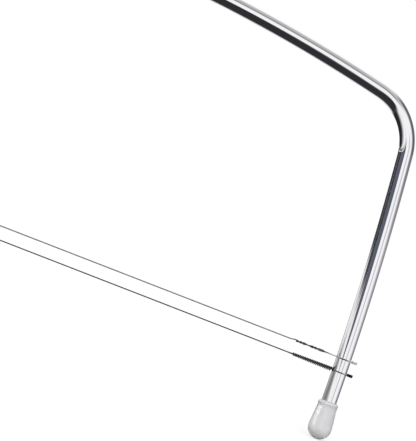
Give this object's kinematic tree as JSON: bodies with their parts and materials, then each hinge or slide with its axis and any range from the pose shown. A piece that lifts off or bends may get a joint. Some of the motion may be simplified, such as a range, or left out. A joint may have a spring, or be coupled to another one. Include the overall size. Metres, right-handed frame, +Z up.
{
  "type": "cake leveler",
  "caption": "Bow-shaped cake leveler: an arched chromed tube on push-on plastic feet, with taut parallel wires slotted into its legs to slice a cake into even layers.",
  "frame": {"origin": "on the table, midway between the two feet, under the middle of the bar", "axes": "+Z up from the feet to the bar, +X along the wires towards the leg that the picture shows, -Y towards the front, the side that the leg slots open to"},
  "size_m": [0.3232, 0.0094, 0.1526],
  "materials": {
    "chrome_tube": "bright chrome plating on steel tube, polished, with faint rubbing marks",
    "foot_plastic": "cloudy white moulded plastic, satin, slightly see-through",
    "wire_steel": "drawn spring steel wire, dull grey with fine draw lines",
    "stop_steel": "turned steel, darkened"
  },
  "bodies": {
    "bow": {"bow_frame": "chrome_tube", "left_foot": "foot_plastic", "right_foot": "foot_plastic"},
    "upper_cutting_wire": {"upper_wire": "wire_steel", "upper_left_stop": "stop_steel", "upper_right_stop": "stop_steel"},
    "lower_cutting_wire": {"lower_wire": "wire_steel", "lower_left_stop": "stop_steel", "lower_right_stop": "stop_steel"}
  },
  "joints": [
    {"name": "upper_wire_release", "type": "slide", "parent": "bow", "child": "upper_cutting_wire", "axis": [0, -1, 0], "range_m": [0, 0.012]},
    {"name": "lower_wire_release", "type": "slide", "parent": "bow", "child": "lower_cutting_wire", "axis": [0, -1, 0], "range_m": [0, 0.012]}
  ]
}
